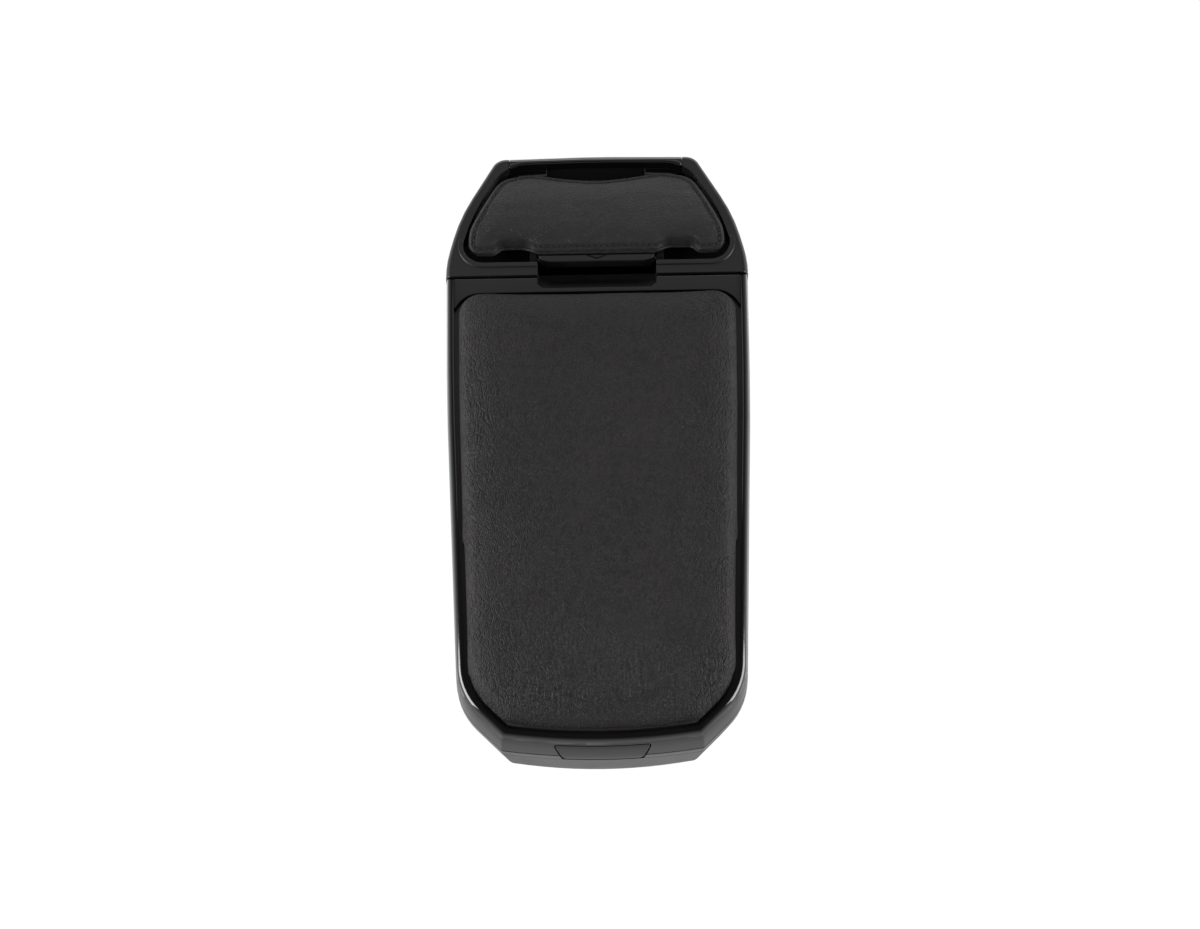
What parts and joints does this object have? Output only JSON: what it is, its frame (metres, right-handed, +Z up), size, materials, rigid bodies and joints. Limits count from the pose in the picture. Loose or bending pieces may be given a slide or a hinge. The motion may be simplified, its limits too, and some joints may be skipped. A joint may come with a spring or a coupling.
{
  "type": "car centre armrest",
  "caption": "Tilting car centre armrest with a padded lid over a storage bin, a stitched rear pad, a front latch and a bolted pivot foot.",
  "frame": {"origin": "centre of the foot flange's bolt pattern, on the flange's underside, straight below the pivot axis", "axes": "+Z up, +Y towards the rear of the car, so the armrest reaches out along -Y, +X to the right seen from the front"},
  "size_m": [0.1518, 0.3157, 0.103],
  "materials": {
    "foot_plastic": "fine moulded grain",
    "bush_plastic": "smooth acetal",
    "shell_plastic": "satin moulded plastic",
    "frame_plastic": "satin moulded plastic",
    "gloss_trim": "piano black",
    "mat_rubber": "matt rubber",
    "steel": "zinc plated",
    "screw_steel": "black zinc",
    "pad_leather": "grained leather with a stitched edge",
    "cushion_leatherette": "pebbled leatherette",
    "board_fibre": "moulded board",
    "lever_plastic": "satin moulded plastic"
  },
  "bodies": {
    "foot": {"pivot_foot": "foot_plastic", "hub_bush_left": "bush_plastic", "hub_bush_right": "bush_plastic"},
    "armrest": {"lower_shell": "shell_plastic", "upper_frame": "frame_plastic", "rear_bridge": "gloss_trim", "bin_mat": "mat_rubber", "striker": "steel", "pivot_bracket_left": "steel", "pivot_bracket_right": "steel", "pivot_shaft": "steel", "shaft_clips": "steel", "thrust_washers": "bush_plastic", "pad_carrier": "frame_plastic", "leather_pad": "pad_leather", "hinge_pins": "steel", "release_pin": "steel", "release_spring": "steel", "frame_screws": "screw_steel", "bracket_screws": "screw_steel", "carrier_screws": "screw_steel", "lid_buffers": "mat_rubber"},
    "lid": {"lid_frame": "frame_plastic", "rim_trim": "gloss_trim", "cushion_board": "board_fibre", "cushion": "cushion_leatherette", "board_screws": "screw_steel", "lid_panel": "frame_plastic", "panel_screws": "screw_steel", "latch_pin": "steel", "latch_spring": "steel"},
    "latch": {"latch_button": "lever_plastic", "latch_hook": "steel"},
    "release": {"release_lever": "lever_plastic", "brake_shoe": "mat_rubber"}
  },
  "joints": [
    {"name": "tilt", "type": "hinge", "parent": "foot", "child": "armrest", "pos_m": [0, 0, 0.067], "axis": [-1, 0, 0], "range_deg": [0, 85]},
    {"name": "lid_hinge", "type": "hinge", "parent": "armrest", "child": "lid", "pos_m": [0, -0.0374, 0.0866], "axis": [-1, 0, 0], "range_deg": [0, 75]},
    {"name": "latch_press", "type": "hinge", "parent": "lid", "child": "latch", "pos_m": [0, -0.2704, 0.084], "axis": [1, 0, 0], "range_deg": [0, 6], "stiffness_Nm_per_rad": 0.4, "springref_deg": -5.73},
    {"name": "release_press", "type": "hinge", "parent": "armrest", "child": "release", "pos_m": [0, -0.0155, 0.0815], "axis": [1, 0, 0], "range_deg": [0, 8], "stiffness_Nm_per_rad": 0.6, "springref_deg": -5.73}
  ]
}
